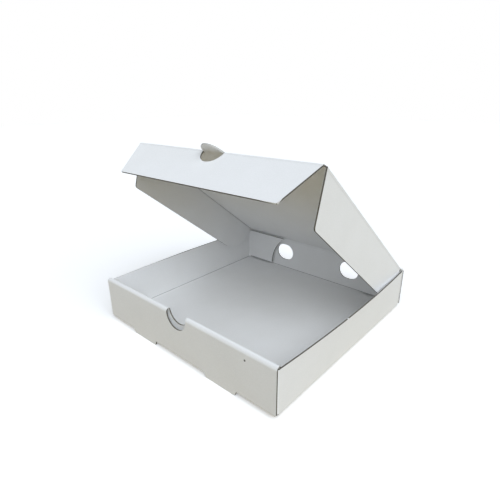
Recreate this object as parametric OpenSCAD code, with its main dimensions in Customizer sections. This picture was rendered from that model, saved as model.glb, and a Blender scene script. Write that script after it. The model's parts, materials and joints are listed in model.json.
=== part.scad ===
// A one-piece folding pizza box of plain white fluted board, standing open.
// The tray is folded up from the sheet and locked at the front, where the wall is
// rolled over two ears. The lid swings on the back wall and drops inside the tray.
// Origin: middle of the tray in plan, on the surface that the box stands on.
// X runs to the right, Y to the back and Z up.

/* [Board] */
// Thickness of the fluted board
board_t = 1.6; // [1:0.1:3]
// Inside radius of a fixed fold
fold_r = 0.4; // [0.2:0.1:0.8]
// Room between two layers that lie on each other
layer_gap = 0.3; // [0.2:0.05:0.6]
// Room between two panels along a moving crease
crease_gap = 0.5; // [0.4:0.05:0.8]

/* [Tray] */
// Width across the side walls, at the floor
tray_w = 254; // [200:1:420]
// Depth from the front wall's face to the back wall's face
tray_d = 256; // [200:1:420]
// Height of the front wall above the floor's underside
wall_h = 49.5; // [38:0.5:70]
// How far the top of a side wall bellies out at the middle of its length
side_belly = 4; // [0.5:0.5:8]

/* [Front wall] */
// Width of the thumb notch at the wall's top
notch_w = 29.4; // [20:0.2:44]
// Depth of the thumb notch in the outer layer, below the wall's top
notch_depth = 16.4; // [9:0.2:20]
// Depth of the thumb notch in the inner layer, below the wall's top
inner_notch_depth = 12; // [6:0.2:16]
// Room between the end of the inner layer and a side wall, where the roll narrows
inner_panel_gap = 2.4; // [0.3:0.1:6]
// Distance of each foot's middle from the middle of the box
foot_x = 60; // [45:1:75]
// Width of a foot where it leaves the floor
foot_w = 43; // [25:1:55]
// How far each end of a foot slants in towards its tip
foot_slant = 2.2; // [0.5:0.1:5]
// Room behind a lock tab in the floor slot that a foot leaves
lock_gap = 0.5; // [0.3:0.1:1.5]
// Length of an ear between the layers of the front wall
front_ear_l = 64; // [40:1:80]
// How far a front ear's free end narrows at its top and bottom
front_ear_taper = 6; // [2:0.5:12]

/* [Back wall] */
// Width of the steam holes
vent_w = 28.5; // [18:0.5:36]
// Height of the steam holes
vent_h = 24; // [16:0.5:28]
// Distance of each steam hole from the middle of the box
vent_x = 54; // [30:1:70]
// Height of the steam holes' middle above the floor's underside
vent_z = 26.5; // [18:0.5:34]
// Room between a rear ear and the back wall
rear_ear_gap = 1.8; // [0.3:0.1:3]
// Room between a rear ear and the floor
rear_ear_floor_gap = 2.2; // [0.7:0.1:6]
// Length of a rear ear along its top edge
rear_ear_l = 72; // [50:1:90]
// Length of a rear ear along the floor
rear_ear_foot_l = 49.5; // [30:0.5:65]

/* [Lid] */
// Opening angle of the lid, from closed
lid_open = 38.2; // [15:0.1:120]
// Room between the lid's side flaps and the tray's walls
lid_side_gap = 1.4; // [0.8:0.1:4]
// Room between the closed lid's front fold and the front wall
lid_front_gap = 2.4; // [2:0.1:6]
// Room under the side flaps of the closed lid
lid_floor_gap = 1; // [0.5:0.1:4]
// How far the lid's rear corners stand out past its side folds
lid_heel_out = 3; // [0.5:0.1:4]

/* [Lid flaps] */
// Angle that the front flap is folded from the lid's plane
front_fold = 72; // [30:1:85]
// Length of the front flap
front_flap_l = 46; // [30:0.5:47]
// How far each side of the front flap slants in towards its free edge
front_flap_slant = 15.5; // [4:0.5:30]
// How far the ends of the front fold stand in from the lid's side folds
front_fold_inset = 1; // [1:0.1:6]
// Radius of the front flap's free corners
front_flap_r = 1.5; // [1:0.5:12]
// Room between the thumb tab and the edge that it was cut from
tab_gap = 0.6; // [0.4:0.1:1.5]
// Room between the thumb tab and the notch in the front wall
tab_notch_gap = 0.8; // [0.6:0.1:3]
// Room between the rear edge of a side flap and the rear ear, with the lid closed
side_flap_rear_gap = 0.8; // [0.5:0.1:12]
// Distance from the front fold back to the front end of a side fold
side_flap_stop = 2.5; // [2.5:0.1:8]
// How far a side flap's front edge slants back towards its free edge
side_flap_slant = 17; // [8:0.5:40]
// Radius of a side flap's rear corner
side_flap_heel_r = 37; // [10:0.5:44]
// Radius of a side flap's front corner
side_flap_toe_r = 4; // [2:0.5:10]

/* [Hidden] */

board_white = "#e6e6e2";
lid_white = "#dfe0de";

// Smoothness of the arcs, and the steps along a bellied wall
$fn = 48;
belly_steps = 16;
// How far a cut runs past the board that it goes through
overrun = 1;

half_w = tray_w / 2;
half_d = tray_d / 2;
half_t = board_t / 2;
bend_r = fold_r + board_t;

// The rolled front wall is an outer layer, an ear and an inner layer
front_t = 3 * board_t + 2 * layer_gap;
ear_top = wall_h - board_t - layer_gap;
ear_bottom = bend_r + layer_gap;
rear_ear_bottom = board_t + rear_ear_floor_gap;
rear_ear_h = ear_top - rear_ear_bottom;
ear_root_x = half_w - bend_r;
side_front_y = half_d - board_t - layer_gap - bend_r;
side_rear_y = half_d - board_t - rear_ear_gap - bend_r;
rear_ear_y = side_rear_y + fold_r;
side_l = side_front_y + side_rear_y;
inner_panel_half = half_w - board_t - inner_panel_gap;

// The floor slot has room for the inner layer's lock tab. A foot is cut out of that slot, so what the
// slot takes from the floor and the fold, measured along the sheet, is the length of the foot.
slot_depth = front_t + lock_gap;
fold_length = (fold_r + half_t) * PI / 2;
foot_drop = slot_depth - bend_r + fold_length - bend_r;
slot_half = foot_w / 2 + layer_gap;
lock_half = foot_w / 2 - foot_slant;

// A rear ear ends in an arc that is upright at the floor and runs out to a point at the top
scoop_run = rear_ear_l - rear_ear_foot_l;
scoop_r = (scoop_run * scoop_run + rear_ear_h * rear_ear_h) / (2 * scoop_run);

// The lid turns about the middle of the board, just above the back wall
hinge_y = half_d - half_t;
hinge_z = foot_drop + wall_h - half_t;
fold_reach = tray_d - half_t - front_t - lid_front_gap - half_t;
lid_half = half_w - board_t - lid_side_gap;
panel_half = lid_half - board_t - layer_gap;
panel_reach = fold_reach - half_t - crease_gap;
heel_half = lid_half + lid_heel_out;

tab_r = notch_w / 2 - tab_notch_gap;
front_fold_half = lid_half - board_t - front_fold_inset;
side_flap_d = wall_h - 2 * board_t - lid_floor_gap;
side_flap_start = hinge_y - rear_ear_y + side_flap_rear_gap;
side_flap_reach = fold_reach - side_flap_stop;

// Lifts the box so that its feet stand on the surface
module stand() translate([0, 0, foot_drop]) children();

// Draws a section in the depth and height plane across the width of the box
module across(width) rotate([90, 0, 90]) linear_extrude(width, center = true) children();

// Draws a section in the width and height plane along the depth of the box
module along(length) rotate([90, 0, 0]) linear_extrude(length, center = true) children();

// Draws an outline seen from the front as board of one thickness, its front face at y
module facing(y) translate([0, y + board_t, 0]) rotate([90, 0, 0]) linear_extrude(board_t) children();

module both_sides() {
    children();
    mirror([1, 0, 0]) children();
}

module rectangle(low, high) translate(low) square(high - low);

// Cuts a plan outline out of whatever is drawn
module trimmed_to_plan(height) {
    intersection() {
        children(0);
        linear_extrude(2 * height, center = true) children(1);
    }
}

// Section of a fixed fold that turns a quarter, in the quarter of the circle counted from the right
module fold(centre, quarter) {
    translate(centre) rotate(quarter * 90) intersection() {
        difference() {
            circle(bend_r);
            circle(fold_r);
        }
        square(2 * bend_r);
    }
}

module floor_section() {
    rectangle([bend_r - half_d, 0], [half_d - bend_r, board_t]);
    fold([bend_r - half_d, bend_r], 2);
    fold([half_d - bend_r, bend_r], 3);
}

module floor_slots() {
    both_sides()
        translate([foot_x - slot_half, -half_d - overrun, -overrun])
            cube([2 * slot_half, slot_depth + overrun, bend_r + 2 * overrun]);
}

module front_outer_section() {
    rectangle([-half_d, bend_r], [board_t - half_d, wall_h - bend_r]);
    fold([bend_r - half_d, wall_h - bend_r], 1);
    rectangle([bend_r - half_d, wall_h - board_t], [front_t - bend_r - half_d, wall_h]);
}

module front_inner_section() {
    fold([front_t - bend_r - half_d, wall_h - bend_r], 0);
    rectangle([front_t - board_t - half_d, board_t + layer_gap], [front_t - half_d, wall_h - bend_r]);
}

// The roll is as wide as the tray at its front edge and narrows to the inner layer over its top
module roll_plan() {
    polygon([
        [-half_w, -half_d],
        [half_w, -half_d],
        [half_w, bend_r - half_d],
        [inner_panel_half, front_t - board_t - half_d],
        [inner_panel_half, front_t - half_d],
        [-inner_panel_half, front_t - half_d],
        [-inner_panel_half, front_t - board_t - half_d],
        [-half_w, bend_r - half_d]
    ]);
}

// Cuts an arc from the wall's top down to a depth, between two distances behind the wall's face
module thumb_notch(depth, front, back) {
    radius = (notch_w * notch_w / 4 + depth * depth) / (2 * depth);
    translate([0, front - half_d, wall_h + radius - depth])
        rotate([-90, 0, 0]) cylinder(r = radius, h = back - front);
}

// The tongue that stays in the plane of the outer layer when the floor is folded away from it
module foot() {
    facing(-half_d)
        polygon([
            [foot_x - foot_w / 2, bend_r],
            [foot_x - foot_w / 2 + foot_slant, -foot_drop],
            [foot_x + foot_w / 2 - foot_slant, -foot_drop],
            [foot_x + foot_w / 2, bend_r]
        ]);
}

// The tab under the inner layer that locks in the floor slot behind a foot
module lock_tab() {
    facing(front_t - board_t - half_d)
        rectangle([foot_x - lock_half, 0], [foot_x + lock_half, board_t + layer_gap]);
}

module front_wall() {
    difference() {
        trimmed_to_plan(wall_h) {
            across(tray_w) {
                front_outer_section();
                front_inner_section();
            }
            roll_plan();
        }
        thumb_notch(notch_depth, -overrun, front_t / 2);
        thumb_notch(inner_notch_depth, front_t / 2, front_t + overrun);
    }
    both_sides() {
        foot();
        lock_tab();
    }
}

// An oblong hole through the back wall, with round ends
module steam_hole() {
    end_x = (vent_w - vent_h) / 2;
    cut_l = board_t + 2 * overrun;
    translate([vent_x, half_d - board_t - overrun, vent_z]) rotate([-90, 0, 0]) {
        translate([-end_x, 0, 0]) cylinder(d = vent_h, h = cut_l);
        translate([end_x, 0, 0]) cylinder(d = vent_h, h = cut_l);
        translate([-end_x, -vent_h / 2, 0]) cube([2 * end_x, vent_h, cut_l]);
    }
}

module back_wall() {
    difference() {
        facing(half_d - board_t) rectangle([-half_w, bend_r], [half_w, wall_h - board_t - layer_gap]);
        both_sides() steam_hole();
    }
}

function belly(share) = side_belly * (1 - pow(2 * share - 1, 2));

// The straight part of a side wall: upright at both ends and bellied out between them
module bellied_wall() {
    sections = [
        for (step = [0:belly_steps])
            let (share = step / belly_steps, y = side_l * share - side_front_y, out = belly(share))
                [
                    [half_w - board_t, y, bend_r],
                    [half_w, y, bend_r],
                    [half_w + out, y, ear_top],
                    [half_w + out - board_t, y, ear_top]
                ]
    ];
    corners = len(sections[0]);
    last = corners * belly_steps;
    polyhedron(
        points = [for (section = sections) each section],
        faces = [
            [for (corner = [corners - 1:-1:0]) corner],
            [for (corner = [0:corners - 1]) last + corner],
            for (step = [0:belly_steps - 1], edge = [0:corners - 1])
                let (near = corners * step, far = near + corners, next = (edge + 1) % corners)
                    [near + next, far + next, far + edge, near + edge]
        ]
    );
}

module front_ear_outline() {
    polygon([
        [ear_root_x, ear_bottom],
        [ear_root_x, ear_top],
        [half_w - front_ear_l, ear_top - front_ear_taper],
        [half_w - front_ear_l, ear_bottom + front_ear_taper]
    ]);
}

module rear_ear_outline() {
    difference() {
        rectangle([half_w - rear_ear_l, rear_ear_bottom], [ear_root_x, ear_top]);
        translate([half_w - rear_ear_foot_l - scoop_r, rear_ear_bottom]) circle(scoop_r);
    }
}

// Upright fold from a side wall into an ear
module ear_fold(y, bottom, quarter) {
    translate([0, 0, bottom]) linear_extrude(ear_top - bottom) fold([ear_root_x, y], quarter);
}

module side_wall() {
    translate([0, (side_rear_y - side_front_y) / 2, 0]) along(side_l) fold([half_w - bend_r, bend_r], 3);
    bellied_wall();
    ear_fold(-side_front_y, ear_bottom, 3);
    facing(-side_front_y - bend_r) front_ear_outline();
    ear_fold(side_rear_y, rear_ear_bottom, 0);
    facing(rear_ear_y) rear_ear_outline();
}

module tray() {
    color(board_white) stand() {
        difference() {
            across(2 * (half_w - bend_r)) floor_section();
            floor_slots();
        }
        front_wall();
        back_wall();
        both_sides() side_wall();
    }
}

// Places what is drawn on the closed lid, hinge at the origin and front towards -Y
module on_lid() translate([0, hinge_y, hinge_z]) rotate([-lid_open, 0, 0]) children();

// Section of a panel that turns about the middle of its rounded edge
module hinged_section(reach) {
    rectangle([-reach, -half_t], [0, half_t]);
    intersection() {
        circle(half_t);
        rectangle([0, -board_t], [board_t, board_t]);
    }
}

module lid_plan() {
    polygon([
        [-heel_half, half_t],
        [heel_half, half_t],
        [lid_half, -side_flap_start + layer_gap],
        [panel_half, -side_flap_start + layer_gap],
        [panel_half, -panel_reach],
        [-panel_half, -panel_reach],
        [-panel_half, -side_flap_start + layer_gap],
        [-lid_half, -side_flap_start + layer_gap]
    ]);
}

// The half-moon that stays in the lid's plane when the front flap is folded down
module thumb_tab() translate([0, -fold_reach, 0]) cylinder(r = tab_r, h = board_t, center = true);

module lid() {
    color(lid_white) on_lid() {
        trimmed_to_plan(board_t) {
            across(2 * heel_half) hinged_section(panel_reach);
            lid_plan();
        }
        thumb_tab();
    }
}

module front_flap_plan() {
    free_half = front_fold_half - front_flap_slant;
    difference() {
        offset(front_flap_r) offset(-front_flap_r)
            polygon([
                [-front_fold_half, 2 * front_flap_r],
                [front_fold_half, 2 * front_flap_r],
                [front_fold_half, 0],
                [free_half, -front_flap_l],
                [-free_half, -front_flap_l],
                [-front_fold_half, 0]
            ]);
        circle(tab_r + tab_gap);
    }
}

module lid_front_flap() {
    color(board_white) on_lid()
        translate([0, -fold_reach, 0]) rotate([front_fold, 0, 0])
            trimmed_to_plan(board_t) {
                across(2 * front_fold_half) hinged_section(front_flap_l);
                front_flap_plan();
            }
}

// Section of a side flap that hangs from the lid and turns about its inner corner
module side_flap_section() {
    rectangle([lid_half - board_t, -half_t - side_flap_d], [lid_half, -half_t]);
    translate([lid_half - board_t, -half_t]) intersection() {
        circle(board_t);
        square(2 * board_t);
    }
}

module side_flap_outline() {
    bottom = -half_t - side_flap_d;
    hull() {
        rectangle([-side_flap_reach, -half_t], [-side_flap_start, half_t]);
        translate([-side_flap_start - side_flap_heel_r, bottom + side_flap_heel_r])
            circle(side_flap_heel_r, $fn = 2 * $fn);
        translate([side_flap_slant + side_flap_toe_r - side_flap_reach, bottom + side_flap_toe_r])
            circle(side_flap_toe_r);
    }
}

module side_flap() {
    color(board_white) on_lid()
        intersection() {
            along(2 * fold_reach) side_flap_section();
            translate([lid_half, 0, 0]) across(4 * board_t) side_flap_outline();
        }
}

module lid_left_flap() mirror([1, 0, 0]) side_flap();

module lid_right_flap() side_flap();

tray();
lid();
lid_front_flap();
lid_left_flap();
lid_right_flap();
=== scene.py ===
import json
import math

import bmesh
import bpy
from mathutils import Matrix, Vector
from mathutils.bvhtree import BVHTree

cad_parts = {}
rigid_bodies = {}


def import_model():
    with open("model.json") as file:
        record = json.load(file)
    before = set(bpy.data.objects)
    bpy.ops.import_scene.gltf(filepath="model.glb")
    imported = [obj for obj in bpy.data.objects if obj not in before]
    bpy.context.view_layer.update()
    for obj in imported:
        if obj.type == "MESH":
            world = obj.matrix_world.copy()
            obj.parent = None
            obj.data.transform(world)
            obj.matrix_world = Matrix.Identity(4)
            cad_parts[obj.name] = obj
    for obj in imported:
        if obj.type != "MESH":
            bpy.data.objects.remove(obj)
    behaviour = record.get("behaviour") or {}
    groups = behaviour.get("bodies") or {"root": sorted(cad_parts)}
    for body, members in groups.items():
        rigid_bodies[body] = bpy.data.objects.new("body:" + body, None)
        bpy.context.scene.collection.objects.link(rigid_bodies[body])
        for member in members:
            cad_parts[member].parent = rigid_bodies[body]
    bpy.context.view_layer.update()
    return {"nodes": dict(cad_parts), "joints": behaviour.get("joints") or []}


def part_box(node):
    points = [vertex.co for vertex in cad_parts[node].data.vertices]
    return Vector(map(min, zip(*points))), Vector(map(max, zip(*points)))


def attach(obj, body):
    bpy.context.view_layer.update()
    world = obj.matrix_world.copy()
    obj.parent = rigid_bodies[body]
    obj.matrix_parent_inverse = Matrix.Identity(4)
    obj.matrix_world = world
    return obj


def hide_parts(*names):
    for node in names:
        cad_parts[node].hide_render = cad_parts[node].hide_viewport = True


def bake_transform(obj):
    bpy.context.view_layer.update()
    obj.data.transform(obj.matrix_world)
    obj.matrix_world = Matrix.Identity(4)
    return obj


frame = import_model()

# Lengths are in metres, and are written here in millimetres.
MM = 0.001

# The board: two liners with waved paper between them, which shows in the grooves of its cut edges.
BOARD = 1.6 * MM
HALF = BOARD / 2
LINER = 0.18 * MM
FLUTE_PITCH = 3.3 * MM
FLUTE_PAPER = 0.16 * MM
FLUTE_RISE = HALF - LINER - FLUTE_PAPER / 2
WAVE_STEPS = 8
EDGE_GROOVE = 0.9 * MM
EDGE_SET_BACK = 0.12 * MM

# How the solids' meshes are read. A face with more than CUT_DEPTH of board behind it is a cut edge.
WELD = 0.002 * MM
FLAT_TURN = math.radians(0.2)
CORNER_TURN = math.radians(30)
CUT_DEPTH = 1.35 * BOARD
POKE_ROOM = 10 * WELD
UPRIGHT_SHARE = 0.7
EAR_ROOM = 0.9 * MM

# Edges that turn less than these angles are shaded smooth.
BOARD_SMOOTH = math.radians(25)
FLUTE_SMOOTH = math.radians(50)
SKIN_SMOOTH = math.radians(60)

# The creases that move, the liner over them, and the strips of painted shade in the folds.
CREASE_REACH = 1.45 * MM
CREASE_ROOM = 0.3 * MM
FOLD_STEPS = 8
SKIN = 0.06 * MM
SKIN_LAP = 1.8 * MM
PROUD = HALF + SKIN
BACK_HALF = 126.9 * MM
INNER_HALF = 125.2 * MM
HEEL_PINCH = 7 * MM
FRONT_TURN = math.radians(72)
FRONT_FOLD_HALF = 121.2 * MM
TAB_HOLE_HALF = 14.8 * MM
SIDE_FOLD_HALF = 122.4 * MM
SIDE_FOLD_START = 5.2 * MM
SIDE_FOLD_END = 243.9 * MM
INSIDE_TRIM = 2.5 * MM
END_SHARE = 0.1
FOLD_SHADE_WIDTH = 0.5 * MM

# The rolled front wall's crown, and the flare of its open ends.
ROLL_HALF = 2.7 * MM
ROLL_SPRING = 1.885 * MM
ROLL_SOFTNESS = 0.285 * MM
ROLL_CROWN = 2 * MM
ROLL_CROWN_LEFT = 1 * MM
ROLL_PEAK_SHARE = 0.35
ROLL_END = 121.5 * MM
ROLL_BACK = 1.1 * ROLL_HALF
ROLL_FLARE = 4 * MM
ROLL_FLARE_START = 2 * MM
ROLL_FLARE_RUN = 1.8 * MM

# The bodies, and places in the tray.
JOINTS = {joint["name"]: joint for joint in frame["joints"]}
BODIES = ["tray", "lid", "lid_front_flap", "lid_left_flap", "lid_right_flap"]
TRAY_LOW, TRAY_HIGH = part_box("tray")
ROLL_MIDDLE = TRAY_LOW.y + ROLL_HALF
ROLL_INSIDE = TRAY_LOW.y + 2 * ROLL_HALF
FLOOR_TOP = TRAY_LOW.z + 5.385 * MM
EAR_BOTTOM = TRAY_LOW.z + 7.6 * MM
EAR_FACES = (TRAY_HIGH.y - 3.4 * MM, TRAY_LOW.y + 1.9 * MM)
BACK_INSIDE = TRAY_HIGH.y - BOARD
WALL_INSIDE = 125.4 * MM
WALL_OUTSIDE = 127 * MM
WALL_FRONT = -124.1 * MM
WALL_BACK = 122.6 * MM
WALL_BELLY = 4 * MM
WALL_TOP = TRAY_HIGH.z - 1.9 * MM
SPECK_PLACE = (92.4 * MM, TRAY_LOW.y, TRAY_LOW.z + 45.4 * MM)
SPECK_SIZE = 2 * MM


def hinge_line(name):
    """A point on a hinge and its direction."""
    return Vector(JOINTS[name]["pos_m"]), Vector(JOINTS[name]["axis"]).normalized()


# The directions of the tray and, as it stands at rest, of the lid.
WIDE = Vector((1, 0, 0))
BACK = Vector((0, 1, 0))
UP = Vector((0, 0, 1))
HINGE = hinge_line("lid_hinge")[0]
FRONT_FOLD = hinge_line("front_flap_fold")[0]
LID_RUN = (FRONT_FOLD - HINGE).normalized()
LID_UP = WIDE.cross(LID_RUN) * -1
LID_REACH = (FRONT_FOLD - HINGE).length


def only(*pieces):
    """Selects these pieces alone and works on the first."""
    bpy.ops.object.select_all(action="DESELECT")
    for piece in pieces:
        piece.select_set(True)
    bpy.context.view_layer.objects.active = pieces[0]


def pick_faces(piece, picked):
    """Selects these faces of a piece, by number, and opens it for editing."""
    only(piece)
    bpy.context.tool_settings.mesh_select_mode = (False, False, True)
    for group in (piece.data.vertices, piece.data.edges):
        group.foreach_set("select", [False] * len(group))
    piece.data.polygons.foreach_set("select", [face.index in picked for face in piece.data.polygons])
    bpy.ops.object.mode_set(mode="EDIT")


def apply_modifier(piece, kind, **settings):
    """Adds one modifier to a piece and applies it."""
    only(piece)
    modifier = piece.modifiers.new(kind.lower(), kind)
    for name, value in settings.items():
        setattr(modifier, name, value)
    bpy.ops.object.modifier_apply(modifier=modifier.name)


def strip(name, near, far, finish):
    """A strip of faces between two rows of points."""
    bpy.ops.object.select_all(action="DESELECT")
    bpy.ops.mesh.primitive_grid_add(x_subdivisions=len(near) - 1, y_subdivisions=1, size=1)
    piece = bpy.context.object
    piece.name = name
    for vertex, place in zip(piece.data.vertices, list(near) + list(far)):
        vertex.co = place
    piece.data.materials.append(finish)
    return piece


def join_strips(name, strips, thickness):
    """Joins strips into one piece and gives it a thickness."""
    only(*strips)
    if len(strips) > 1:
        bpy.ops.object.join()
    piece = bpy.context.object
    piece.name = name
    apply_modifier(piece, "SOLIDIFY", thickness=thickness, offset=0)
    return piece


# Finishes


def new_finish(name):
    """A node material with its nodes, links and surface shader."""
    finish = bpy.data.materials.new(name)
    finish.use_nodes = True
    tree = finish.node_tree
    return finish, tree.nodes, tree.links, tree.nodes["Principled BSDF"]


def feed(links, socket, value):
    """Gives a socket a pattern, a colour or a number."""
    if isinstance(value, bpy.types.NodeSocket):
        links.new(value, socket)
    elif isinstance(value, tuple):
        socket.default_value = (*value, 1)
    else:
        socket.default_value = value


def noise(nodes, links, place, scale, detail, roughness):
    """A noise pattern that reads a place on the piece."""
    pattern = nodes.new("ShaderNodeTexNoise")
    pattern.inputs["Scale"].default_value = scale
    pattern.inputs["Detail"].default_value = detail
    pattern.inputs["Roughness"].default_value = roughness
    links.new(place, pattern.inputs["Vector"])
    return pattern.outputs["Fac"]


def ramp(nodes, links, value, low, high):
    """Colours along a value, between two stops given as (place, colour)."""
    colours = nodes.new("ShaderNodeValToRGB")
    for point, (place, colour) in zip(colours.color_ramp.elements, (low, high)):
        point.position = place
        point.color = (*colour, 1)
    links.new(value, colours.inputs["Fac"])
    return colours.outputs["Color"]


def blend_colour(nodes, links, share, first, second, way="MIX"):
    """Two colours mixed by a share."""
    mix = nodes.new("ShaderNodeMix")
    mix.data_type = "RGBA"
    mix.blend_type = way
    feed(links, mix.inputs["Factor"], share)
    feed(links, mix.inputs["A"], first)
    feed(links, mix.inputs["B"], second)
    return mix.outputs["Result"]


def sum_up(nodes, links, way, first, second=0.0):
    """One sum on numbers or patterns."""
    node = nodes.new("ShaderNodeMath")
    node.operation = way
    feed(links, node.inputs[0], first)
    feed(links, node.inputs[1], second)
    return node.outputs["Value"]


def add_bump(nodes, links, surface, height, strength, depth):
    """Presses a height pattern into a surface."""
    bump = nodes.new("ShaderNodeBump")
    bump.inputs["Strength"].default_value = strength
    bump.inputs["Distance"].default_value = depth
    links.new(height, bump.inputs["Height"])
    links.new(bump.outputs["Normal"], surface.inputs["Normal"])


def add_speck(nodes, links, place, base, centre):
    """One small dark speck with a rough edge."""
    near = nodes.new("ShaderNodeVectorMath")
    near.operation = "DISTANCE"
    links.new(place, near.inputs[0])
    near.inputs[1].default_value = centre
    ragged = noise(nodes, links, place, scale=1400, detail=1, roughness=0.5)
    rough_edge = sum_up(nodes, links, "MULTIPLY", ragged, SPECK_SIZE)
    inside = sum_up(nodes, links, "LESS_THAN", near.outputs["Value"], rough_edge)
    return blend_colour(nodes, links, inside, base, (0.07, 0.065, 0.06))


def coated_board(name, colour, shade, speck=None):
    """Matt clay-coated liner: soft mottling, paper fibre, and a trace of the flutes behind it."""
    finish, nodes, links, surface = new_finish(name)
    place = nodes.new("ShaderNodeTexCoord").outputs["Object"]
    cloud = noise(nodes, links, place, scale=22, detail=3, roughness=0.55)
    fibre = noise(nodes, links, place, scale=950, detail=2, roughness=0.6)
    base = ramp(nodes, links, cloud, (0.3, shade), (0.7, colour))
    grain = ramp(nodes, links, fibre, (0.35, (0.55, 0.54, 0.52)), (0.65, (1, 1, 1)))
    base = blend_colour(nodes, links, 0.08, base, grain, "MULTIPLY")
    if speck:
        base = add_speck(nodes, links, place, base, speck)
    links.new(base, surface.inputs["Base Color"])
    gloss = nodes.new("ShaderNodeMapRange")
    gloss.inputs["To Min"].default_value = 0.5
    gloss.inputs["To Max"].default_value = 0.68
    links.new(cloud, gloss.inputs["Value"])
    links.new(gloss.outputs["Result"], surface.inputs["Roughness"])
    surface.inputs["Specular IOR Level"].default_value = 0.3
    across = nodes.new("ShaderNodeSeparateXYZ")
    flutes = nodes.new("ShaderNodeUVMap")
    flutes.uv_map = "flutes"
    links.new(flutes.outputs["UV"], across.inputs["Vector"])
    turns = sum_up(nodes, links, "MULTIPLY", across.outputs["Y"], 2 * math.pi / FLUTE_PITCH)
    washboard = sum_up(nodes, links, "MULTIPLY", sum_up(nodes, links, "SINE", turns), 0.35)
    height = sum_up(nodes, links, "ADD", washboard, fibre)
    add_bump(nodes, links, surface, height, strength=0.25, depth=0.03 * MM)
    return finish


def bare_core(name, colour, shade):
    """The unbleached paper inside the board, which shows only where it is cut."""
    finish, nodes, links, surface = new_finish(name)
    place = nodes.new("ShaderNodeTexCoord").outputs["Object"]
    fibre = noise(nodes, links, place, scale=1600, detail=3, roughness=0.65)
    links.new(ramp(nodes, links, fibre, (0.3, shade), (0.7, colour)), surface.inputs["Base Color"])
    surface.inputs["Roughness"].default_value = 0.95
    surface.inputs["Specular IOR Level"].default_value = 0.1
    add_bump(nodes, links, surface, fibre, strength=0.4, depth=0.05 * MM)
    return finish


white_liner = coated_board("white_liner", (0.9, 0.9, 0.9), (0.87, 0.87, 0.865), SPECK_PLACE)
creased_liner = coated_board("creased_liner", (0.88, 0.88, 0.88), (0.83, 0.83, 0.82))
# Dark grey liner: painted shade for the inner corners of folds.
painted_fold_shade = coated_board("painted_fold_shade", (0.5, 0.5, 0.5), (0.42, 0.42, 0.42))
cut_liner = bare_core("cut_liner", (0.6, 0.59, 0.56), (0.45, 0.44, 0.41))
fluted_paper = bare_core("fluted_paper", (0.2, 0.18, 0.15), (0.11, 0.1, 0.085))
BOARD_FINISHES = (white_liner, cut_liner, fluted_paper)
LINER_SLOT, CUT_SLOT, CORE_SLOT = range(3)


# Boards


def own_hinges(body):
    """The hinges that a body turns on or carries."""
    return [hinge_line(name) for name, joint in JOINTS.items() if body in (joint["parent"], joint["child"])]


def off_line(point, line):
    """Distance of a point from a hinge line."""
    return (point - line[0]).cross(line[1]).length


def board_copy(node, name):
    """A copy of a solid board, welded, with each flat side as one face."""
    piece = bpy.data.objects.new(name, frame["nodes"][node].data.copy())
    bpy.context.scene.collection.objects.link(piece)
    piece.data.materials.clear()
    for finish in BOARD_FINISHES:
        piece.data.materials.append(finish)
    piece.data.polygons.foreach_set("material_index", [LINER_SLOT] * len(piece.data.polygons))
    only(piece)
    bpy.ops.mesh.customdata_custom_splitnormals_clear()
    bpy.ops.object.mode_set(mode="EDIT")
    bpy.ops.mesh.select_all(action="SELECT")
    bpy.ops.mesh.remove_doubles(threshold=WELD)
    bpy.ops.mesh.dissolve_limited(angle_limit=FLAT_TURN)
    bpy.ops.object.mode_set(mode="OBJECT")
    return piece


def inner_points(mesh):
    """A point well inside each face: the middle of its largest triangle."""
    largest = {}
    for loops in mesh.calc_loop_triangles():
        a, b, c = (loop.vert.co for loop in loops)
        area = (b - a).cross(c - a).length
        if area > largest.get(loops[0].face.index, (-1, None))[0]:
            largest[loops[0].face.index] = (area, (a + b + c) / 3)
    return {index: point for index, (area, point) in largest.items()}


def sort_faces(mesh, body):
    """Sorts out a board's open cut edges, its creases and its shut edges, by face number.

    The step in the thumb notch, where its two depths meet, is liner. The half-moon cut leaves the
    thumb tab's edge shut. The back crease pinches the lid's ends until liner covers them.
    """
    hinges = own_hinges(body)
    tree = BVHTree.FromBMesh(mesh)
    points = inner_points(mesh)
    cut, crease, shut = set(), set(), set()
    for face in mesh.faces:
        middle = points[face.index]
        if min(off_line(middle, line) for line in hinges) < CREASE_REACH:
            crease.add(face.index)
            continue
        notch_step = abs(middle.y - ROLL_MIDDLE) < WELD
        lid_heel = body == "lid" and off_line(middle, (HINGE, WIDE)) < HEEL_PINCH
        if notch_step or lid_heel:
            continue
        depth = tree.ray_cast(middle - face.normal * WELD, -face.normal)[3]
        if depth is None or depth > CUT_DEPTH:
            thumb_tab = body == "lid" and (middle - HINGE).dot(LID_RUN) > LID_REACH
            (shut if thumb_tab else cut).add(face.index)
    return cut, crease, shut


def one_side(mesh, skipped):
    """The faces of the larger of the board's two liners, found by walking over its folds."""
    left = {face.index for face in mesh.faces} - skipped
    sides = []
    while left:
        walk = [left.pop()]
        side = set(walk)
        while walk:
            for edge in mesh.faces[walk.pop()].edges:
                for face in edge.link_faces:
                    if face.index in left:
                        left.remove(face.index)
                        side.add(face.index)
                        walk.append(face.index)
        sides.append(side)
    return max(sides, key=lambda side: sum(mesh.faces[index].calc_area() for index in side))


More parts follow.
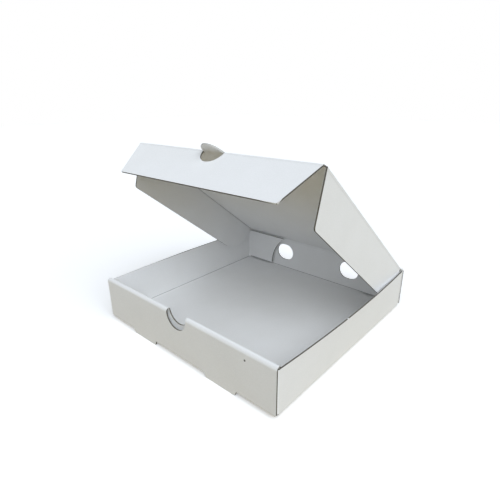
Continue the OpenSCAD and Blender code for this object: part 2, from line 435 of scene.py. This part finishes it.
def cut_runs(mesh, cut, skipped):
    """The cut edges as runs of (point, liner normal, way out of the edge), broken at their corners."""
    side = one_side(mesh, cut | skipped)
    links = {}
    for edge in mesh.edges:
        liner = [face for face in edge.link_faces if face.index in side]
        open_end = [face for face in edge.link_faces if face.index in cut]
        if len(liner) == 1 and len(open_end) == 1:
            for vertex in edge.verts:
                link = (edge, liner[0].normal.copy(), open_end[0].normal.copy())
                links.setdefault(vertex, []).append(link)
    done = set()
    runs = []

    def follow(vertex, edge):
        """Walks on from an edge until the outline turns a corner."""
        found = []
        while True:
            heading = vertex.co - edge.other_vert(vertex).co
            onward = [link for link in links[vertex] if link[0] is not edge]
            if len(onward) != 1 or onward[0][0] in done:
                return found
            edge, normal, out = onward[0]
            if heading.angle(edge.other_vert(vertex).co - vertex.co) > CORNER_TURN:
                return found
            done.add(edge)
            found.append((edge, normal, out, vertex))
            vertex = edge.other_vert(vertex)

    for vertex in list(links):
        for edge, normal, out in links[vertex]:
            if edge in done:
                continue
            done.add(edge)
            ahead = follow(edge.other_vert(vertex), edge)
            behind = follow(vertex, edge)
            chain = [(item[0], item[1], item[2], item[0].other_vert(item[3])) for item in reversed(behind)]
            chain += [(edge, normal, out, vertex)] + ahead
            run = []
            for number, (_, liner, way_out, first) in enumerate(chain):
                _, last_liner, last_out, _ = chain[max(0, number - 1)]
                mean_normal = (liner + last_liner).normalized()
                run.append((first.co.copy(), mean_normal, (way_out + last_out).normalized()))
            last_edge, liner, way_out, first = chain[-1]
            run.append((last_edge.other_vert(first).co.copy(), liner, way_out))
            runs.append(run)
    return runs


def across_flutes(body, point, normal):
    """The direction across the flutes. On the flat sheet they run from side to side of the box."""
    if body in ("lid", "lid_left_flap", "lid_right_flap"):
        return LID_RUN
    if body == "lid_front_flap":
        return normal.cross(WIDE).normalized()
    if abs(normal.y) < UPRIGHT_SHARE:
        return BACK
    if min(abs(point.y - face) for face in EAR_FACES) < EAR_ROOM:
        return WIDE
    return UP


def flute_strip(body, run):
    """The waved paper along one run of a cut edge, from just inside the edge to the bottom of its groove."""
    places = []
    for (start, normal, out), (end, next_normal, next_out) in zip(run, run[1:]):
        steps = max(1, math.ceil((end - start).length / (FLUTE_PITCH / WAVE_STEPS)))
        for step in range(steps):
            share = step / steps
            point = start.lerp(end, share)
            places.append((point, normal.lerp(next_normal, share), out.lerp(next_out, share)))
    places.append(run[-1])
    rows = ([], [])
    for point, normal, out in places:
        across = across_flutes(body, point, normal)
        for row, depth in zip(rows, (EDGE_SET_BACK, EDGE_GROOVE)):
            place = point - out * depth
            wave = math.sin(2 * math.pi * place.dot(across) / FLUTE_PITCH)
            row.append(place + normal * (wave * FLUTE_RISE - HALF))
    return strip(body + "_flute", rows[0], rows[1], fluted_paper)


def open_cut_edges(piece, cut):
    """Leaves a thin rim of liner along each cut edge and hollows the board between the two rims."""
    pick_faces(piece, cut)
    bpy.context.object.active_material_index = CUT_SLOT
    bpy.ops.object.material_slot_assign()
    bpy.ops.mesh.inset(thickness=LINER, depth=0, use_even_offset=True)
    bpy.context.object.active_material_index = CORE_SLOT
    bpy.ops.object.material_slot_assign()
    bpy.ops.mesh.inset(thickness=0, depth=-EDGE_GROOVE, use_even_offset=False)
    bpy.ops.object.mode_set(mode="OBJECT")


def keep_inside(piece, body):
    """Draws back the few points that a narrow tip leaves outside its solid."""
    solid = bmesh.new()
    solid.from_mesh(frame["nodes"][body].data)
    tree = BVHTree.FromBMesh(solid)
    solid.free()
    for vertex in piece.data.vertices:
        near, normal, _, _ = tree.find_nearest(vertex.co)
        if (vertex.co - near).dot(normal) > POKE_ROOM:
            vertex.co = near - normal * LINER / 2


def raise_crown(piece):
    """Rounds the rolled front wall's top up between its folds, and flares its ends over the side walls.

    The crown is highest near the back fold and lies lower at the left end.
    """
    for vertex in piece.data.vertices:
        place = vertex.co
        across = (place.y - ROLL_MIDDLE) / ROLL_HALF - ROLL_PEAK_SHARE
        across /= 1 - ROLL_PEAK_SHARE if across > 0 else 1 + ROLL_PEAK_SHARE
        above = (place.z - TRAY_HIGH.z + ROLL_SPRING) / ROLL_SOFTNESS
        if abs(across) < 1 and above > 0:
            along = min(1, (place.x - TRAY_LOW.x) / -TRAY_LOW.x)
            height = ROLL_CROWN_LEFT + (ROLL_CROWN - ROLL_CROWN_LEFT) * along
            place.z += height * (1 - across * across) * min(1, above)
        if abs(place.x) > ROLL_END and place.y < ROLL_MIDDLE + ROLL_BACK and above > 0:
            back = (place.y - TRAY_LOW.y - ROLL_FLARE_START) / ROLL_FLARE_RUN
            place.x += math.copysign(ROLL_FLARE, place.x) * max(0, min(1, back)) * min(1, above)


def lay_out_flutes(piece, body):
    """A map with the flutes' own directions, in metres along and across them."""
    layer = piece.data.uv_layers.get("flutes") or piece.data.uv_layers.new(name="flutes")
    for face in piece.data.polygons:
        across = across_flutes(body, face.center, face.normal)
        along = face.normal.cross(across)
        for loop in face.loop_indices:
            place = piece.data.vertices[piece.data.loops[loop].vertex_index].co
            layer.data[loop].uv = (place.dot(along), place.dot(across))


def make_board(body):
    """One board with open cut edges, and the fluted paper that shows in them. The lid has no open edge."""
    piece = board_copy(body, body + "_board")
    mesh = bmesh.new()
    mesh.from_mesh(piece.data)
    mesh.faces.ensure_lookup_table()
    cut, crease, shut = sort_faces(mesh, body)
    runs = cut_runs(mesh, cut, crease | shut)
    mesh.free()
    for index in shut:
        piece.data.polygons[index].material_index = CUT_SLOT
    for index in crease:
        if off_line(piece.data.polygons[index].center, (HINGE, WIDE)) > HEEL_PINCH:
            piece.data.polygons[index].material_index = CORE_SLOT
    open_cut_edges(piece, cut)
    keep_inside(piece, body)
    if body == "tray":
        raise_crown(piece)
    only(piece)
    bpy.ops.object.shade_smooth_by_angle(angle=BOARD_SMOOTH)
    lay_out_flutes(piece, body)
    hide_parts(body)
    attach(piece, body)
    if not runs:
        return
    core = join_strips(body + "_flutes", [flute_strip(body, run) for run in runs], FLUTE_PAPER)
    keep_inside(core, body)
    if body == "tray":
        raise_crown(core)
    bpy.ops.object.shade_smooth_by_angle(angle=FLUTE_SMOOTH)
    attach(core, body)


for body in BODIES:
    make_board(body)


# Creases


def arc(centre, first, second, radius, turn):
    """Points on an arc about a fold, from the first direction towards the second."""
    angles = [turn * step / FOLD_STEPS for step in range(FOLD_STEPS + 1)]
    return [centre + (first * math.cos(angle) + second * math.sin(angle)) * radius for angle in angles]


def corner_of(point, way, other, other_way):
    """Where two boards' faces meet, in a plane across their fold."""
    normal = way.cross(other_way)
    return point + way * ((other - point).cross(other_way).dot(normal) / normal.length_squared)


def inner_profile(corner, way, next_way, lap):
    """The inside of a crease: along one board, round the inner corner and along the next board."""
    before = [corner - way * lap, corner - way * CREASE_ROOM]
    after = [corner + next_way * CREASE_ROOM, corner + next_way * SKIN_LAP]
    return before + [corner] + after


def crease_end(outer, corner, shift):
    """The raw end of a crease, from its outer fold in to its inner corner."""
    near = [point + shift for point in outer]
    far = [corner + (point - corner) * END_SHARE + shift for point in outer]
    return near, far


def both_sides(profile, inner, outer):
    """A profile swept along X on both sides of the middle, each point between its two distances."""
    rows = []
    for side in (-1, 1):
        near = [point + WIDE * (side * inner) for point in profile]
        far = [point + WIDE * (side * reach) for point, reach in zip(profile, outer)]
        rows.append((near, far))
    return rows


def along_lid(profile, start, end):
    """A profile swept along the lid, between two distances from its hinge."""
    near = [point + LID_RUN * start for point in profile]
    far = [point + LID_RUN * end for point in profile]
    return [(near, far)]


def crease_skin(name, child, rows, finish=creased_liner):
    """The paper over a moving crease, from pairs of rows of points."""
    piece = join_strips(name, [strip(name, near, far, finish) for near, far in rows], SKIN)
    bpy.ops.object.mode_set(mode="EDIT")
    bpy.ops.mesh.select_all(action="SELECT")
    bpy.ops.mesh.normals_make_consistent(inside=False)
    bpy.ops.object.mode_set(mode="OBJECT")
    bpy.ops.object.shade_smooth_by_angle(angle=SKIN_SMOOTH)
    lay_out_flutes(piece, child)
    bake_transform(piece)


# The back crease is as wide as the back wall, and narrows with the lid's heel.
over = arc(HINGE, BACK, UP, PROUD, BACK.angle(LID_UP))
wall_end = HINGE + BACK * PROUD - UP * (HALF + CREASE_ROOM)
outside = [wall_end - UP * SKIN_LAP] + over + [over[-1] + LID_RUN * SKIN_LAP]
widths = [BACK_HALF] + [BACK_HALF - CREASE_ROOM] * len(over) + [BACK_HALF - 3 * CREASE_ROOM]
rows = both_sides(outside, 0, widths)
crease_skin("back_crease_outside", "lid", rows)
corner = corner_of(HINGE - BACK * PROUD, UP, HINGE - LID_UP * PROUD, LID_RUN)
inside = inner_profile(corner, UP, LID_RUN, 2 * SKIN_LAP)
rows = both_sides(inside, 0, [INNER_HALF] * len(inside))
crease_skin("back_crease_inside", "lid", rows)

# The front flap's crease stops either side of the thumb tab.
flap_out = LID_UP * math.cos(FRONT_TURN) + LID_RUN * math.sin(FRONT_TURN)
flap_run = LID_RUN * math.cos(FRONT_TURN) - LID_UP * math.sin(FRONT_TURN)
over = arc(FRONT_FOLD, LID_UP, LID_RUN, PROUD, FRONT_TURN)
panel_end = FRONT_FOLD + LID_UP * PROUD - LID_RUN * (HALF + CREASE_ROOM)
outside = [panel_end - LID_RUN * SKIN_LAP] + over + [over[-1] + flap_run * SKIN_LAP]
rows = both_sides(outside, TAB_HOLE_HALF, [FRONT_FOLD_HALF] * len(outside))
crease_skin("front_crease_outside", "lid_front_flap", rows)
corner = corner_of(FRONT_FOLD - LID_UP * PROUD, LID_RUN, FRONT_FOLD - flap_out * PROUD, flap_run)
inside = inner_profile(corner, LID_RUN, flap_run, 2 * SKIN_LAP)
rows = both_sides(inside, TAB_HOLE_HALF, [FRONT_FOLD_HALF - INSIDE_TRIM] * len(inside))
crease_skin("front_crease_inside", "lid_front_flap", rows)
rows = [crease_end(over, corner, WIDE * FRONT_FOLD_HALF * side) for side in (-1, 1)]
crease_skin("front_crease_ends", "lid_front_flap", rows, fluted_paper)

# Each side flap turns about the inner corner of its crease.
for side, body in ((-1, "lid_left_flap"), (1, "lid_right_flap")):
    out = WIDE * side
    fold = HINGE + out * SIDE_FOLD_HALF - LID_UP * HALF
    over = arc(fold, LID_UP, out, BOARD + SKIN, math.pi / 2)
    outside = [over[0] - out * (CREASE_ROOM + SKIN_LAP)] + over + [over[-1] - LID_UP * SKIN_LAP]
    rows = along_lid(outside, SIDE_FOLD_START, SIDE_FOLD_END)
    crease_skin(body + "_crease_outside", body, rows)
    corner = fold - (out + LID_UP) * SKIN
    inside = inner_profile(corner, out, -LID_UP, CREASE_ROOM + SKIN_LAP)
    rows = along_lid(inside, SIDE_FOLD_START, SIDE_FOLD_END - INSIDE_TRIM)
    crease_skin(body + "_crease_inside", body, rows)
    # A dark strip of painted shade along the flap's inner fold.
    shade_profile = [corner - out * FOLD_SHADE_WIDTH - LID_UP * SKIN, corner - out * SKIN - LID_UP * FOLD_SHADE_WIDTH]
    rows = along_lid(shade_profile, SIDE_FOLD_START, SIDE_FOLD_END - INSIDE_TRIM)
    crease_skin(body + "_fold_shade_strip", body, rows, painted_fold_shade)
    rows = [crease_end(over, corner, LID_RUN * SIDE_FOLD_END)]
    crease_skin(body + "_crease_end", body, rows, fluted_paper)


# Painted shade in the folds inside the tray


def fold_shade_strip(start, end, first, second):
    """A thin dark strip of painted shade across a fold's inner corner inside the box."""
    near = [start + first * FOLD_SHADE_WIDTH + second * SKIN, end + first * FOLD_SHADE_WIDTH + second * SKIN]
    far = [start + second * FOLD_SHADE_WIDTH + first * SKIN, end + second * FOLD_SHADE_WIDTH + first * SKIN]
    return strip("fold_shade_strip", near, far, painted_fold_shade)


# Strips of painted shade along the floor's folds and the ears' corners.
back_corner = Vector((0, BACK_INSIDE, FLOOR_TOP))
fold_shades = [fold_shade_strip(back_corner - WIDE * WALL_INSIDE, back_corner + WIDE * WALL_INSIDE, UP, -BACK)]
for side in (-1, 1):
    wall = WIDE * side * WALL_INSIDE
    front_end = wall + BACK * ROLL_INSIDE + UP * FLOOR_TOP
    back_end = wall + BACK * EAR_FACES[0] + UP * FLOOR_TOP
    fold_shades.append(fold_shade_strip(front_end, back_end, UP, -WIDE * side))
    ear_low = wall + BACK * EAR_FACES[0] + UP * EAR_BOTTOM
    ear_high = wall + BACK * EAR_FACES[0] + UP * WALL_TOP
    fold_shades.append(fold_shade_strip(ear_low, ear_high, -BACK, -WIDE * side))
fold_shade_strips = join_strips("fold_shade_strips", fold_shades, SKIN / 2)
lay_out_flutes(fold_shade_strips, "tray")
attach(fold_shade_strips, "tray")


# Worn edges

# Each place along an edge is in millimetres, with the share of the edge that crushed liner covers there.
FLAP_END = 46 * MM
FLAP_END_HALF = 105.9 * MM
FLAP_SIDE_HALF = 121.4 * MM
KNOCKED_END = ((17, 0.06), (12, 0.3), (7, 0.55), (3, 0.85), (1.2, 0.95))
KNOCKED_SIDE = ((1.2, 0.95), (3, 0.7), (6, 0.06))
PRESSED_LEFT = ((-123, 0.9), (-105, 1), (-85, 0.9), (-65, 1), (-45, 0.7), (-25, 0.4), (-5, 0.1))
NICKED_RIGHT = ((-20.1, 0.7), (-19, 1), (-17.9, 0.8))


def crushed_edge(name, body, places):
    """Liner crushed over a cut edge, from (point on its rim, way out of the edge, way across it, share)."""
    near = [point + out * SKIN for point, out, across, share in places]
    far = [point + out * SKIN + across * BOARD * share for point, out, across, share in places]
    piece = join_strips(name, [strip(name, near, far, creased_liner)], SKIN)
    bpy.ops.object.shade_smooth_by_angle(angle=SKIN_SMOOTH)
    lay_out_flutes(piece, body)
    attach(piece, body)


def side_wall_rim(side, y):
    """A point on the outer rim of a side wall's top. The wall bellies outwards between its ends."""
    share = (y - WALL_FRONT) / (WALL_BACK - WALL_FRONT)
    belly = WALL_BELLY * (1 - (2 * share - 1) ** 2)
    return Vector((side * (WALL_OUTSIDE + belly), y, WALL_TOP))


# The front flap's right corner is knocked, so its outer liner covers the raw edges there.
flap_corner = FRONT_FOLD + flap_out * HALF + flap_run * FLAP_END + WIDE * FLAP_END_HALF
flap_side = (WIDE * (FLAP_SIDE_HALF - FLAP_END_HALF) - flap_run * FLAP_END).normalized()
side_out = flap_out.cross(flap_side).normalized()
side_out *= 1 if side_out.dot(WIDE) > 0 else -1
knocked = [(flap_corner - WIDE * back * MM, flap_run, -flap_out, share) for back, share in KNOCKED_END]
knocked += [(flap_corner + flap_side * back * MM, side_out, -flap_out, share) for back, share in KNOCKED_SIDE]
crushed_edge("knocked_flap_corner", "lid_front_flap", knocked)

# The left wall's top edge is pressed flat along its front half, and the right one has a nick.
pressed = [(side_wall_rim(-1, y * MM), UP, WIDE, share) for y, share in PRESSED_LEFT]
crushed_edge("pressed_left_edge", "tray", pressed)
nick = [(side_wall_rim(1, y * MM), UP, -WIDE, share) for y, share in NICKED_RIGHT]
crushed_edge("nick_in_right_edge", "tray", nick)


# Camera, light and floor

CAMERA_PLACE = Vector((281.16, -331.73, 254.98)) * MM
CAMERA_TURN = math.radians(41.7)
CAMERA_DOWN = math.radians(21.39)
CAMERA_ROLL = math.radians(-0.44)
CAMERA_SENSOR = 36
CAMERA_LENS = 28.384
FLOOR_SIZE = 8
DAYLIGHT = (0.94, 1.0, 1.07)
SUN_WIDTH = math.radians(60)

camera = bpy.data.objects.new("camera", bpy.data.cameras.new("camera"))
bpy.context.scene.collection.objects.link(camera)
camera.data.sensor_width = CAMERA_SENSOR
camera.data.lens = CAMERA_LENS
camera.matrix_world = (
    Matrix.Translation(CAMERA_PLACE)
    @ Matrix.Rotation(CAMERA_TURN, 4, "Z")
    @ Matrix.Rotation(math.pi / 2 - CAMERA_DOWN, 4, "X")
    @ Matrix.Rotation(CAMERA_ROLL, 4, "Z")
)
bpy.context.scene.camera = camera


def when_seen(nodes, links, unseen, seen):
    """One shader for what is seen directly, in a mirror or through glass, and one for light that spreads."""
    path = nodes.new("ShaderNodeLightPath").outputs
    mirrored = sum_up(nodes, links, "MAXIMUM", path["Is Camera Ray"], path["Is Glossy Ray"])
    either = nodes.new("ShaderNodeMixShader")
    links.new(sum_up(nodes, links, "MAXIMUM", mirrored, path["Is Transmission Ray"]), either.inputs["Fac"])
    links.new(unseen, either.inputs[1])
    links.new(seen, either.inputs[2])
    return either.outputs["Shader"]


# The floor shows white with the box's shadow, and sends warmer, weaker light back up.
bpy.ops.object.select_all(action="DESELECT")
bpy.ops.mesh.primitive_plane_add(size=FLOOR_SIZE)
floor = bpy.context.object
floor.name = "floor"
paper, nodes, links, surface = new_finish("white_floor")
nodes.remove(surface)
shaded = nodes.new("ShaderNodeBsdfDiffuse")
shaded.inputs["Color"].default_value = (0.97, 0.97, 0.97, 1)
glow = nodes.new("ShaderNodeEmission")
glow.inputs["Strength"].default_value = 0.25
lit = nodes.new("ShaderNodeAddShader")
links.new(shaded.outputs["BSDF"], lit.inputs[0])
links.new(glow.outputs["Emission"], lit.inputs[1])
bounce = nodes.new("ShaderNodeBsdfDiffuse")
bounce.inputs["Color"].default_value = (0.38, 0.3, 0.14, 1)
shown = when_seen(nodes, links, bounce.outputs["BSDF"], lit.outputs["Shader"])
links.new(shown, nodes["Material Output"].inputs["Surface"])
floor.data.materials.append(paper)

# The studio shows white, and lights the box with a weaker, cooler sky.
world = bpy.data.worlds.new("studio")
bpy.context.scene.world = world
world.use_nodes = True
nodes, links = world.node_tree.nodes, world.node_tree.links
sky = nodes["Background"]
sky.inputs["Color"].default_value = (*DAYLIGHT, 1)
sky.inputs["Strength"].default_value = 0.18
white = nodes.new("ShaderNodeBackground")
white.inputs["Color"].default_value = (1, 1, 1, 1)
white.inputs["Strength"].default_value = 1
shown = when_seen(nodes, links, sky.outputs["Background"], white.outputs["Background"])
links.new(shown, nodes["World Output"].inputs["Surface"])


def soft_sun(name, towards, strength):
    """A far, wide lamp that shines the same on the whole scene."""
    lamp = bpy.data.objects.new(name, bpy.data.lights.new(name, "SUN"))
    bpy.context.scene.collection.objects.link(lamp)
    lamp.data.angle = SUN_WIDTH
    lamp.data.energy = strength
    lamp.data.color = DAYLIGHT
    lamp.rotation_euler = Vector(towards).to_track_quat("-Z", "Y").to_euler()


soft_sun("key_from_right", towards=(-0.62, 0.25, -0.74), strength=2.1)
soft_sun("fill_from_side", towards=(-0.9, 0.2, -0.4), strength=0.35)
soft_sun("fill_from_front", towards=(-0.3, 0.75, -0.6), strength=0.66)

bpy.context.scene.view_settings.view_transform = "Standard"
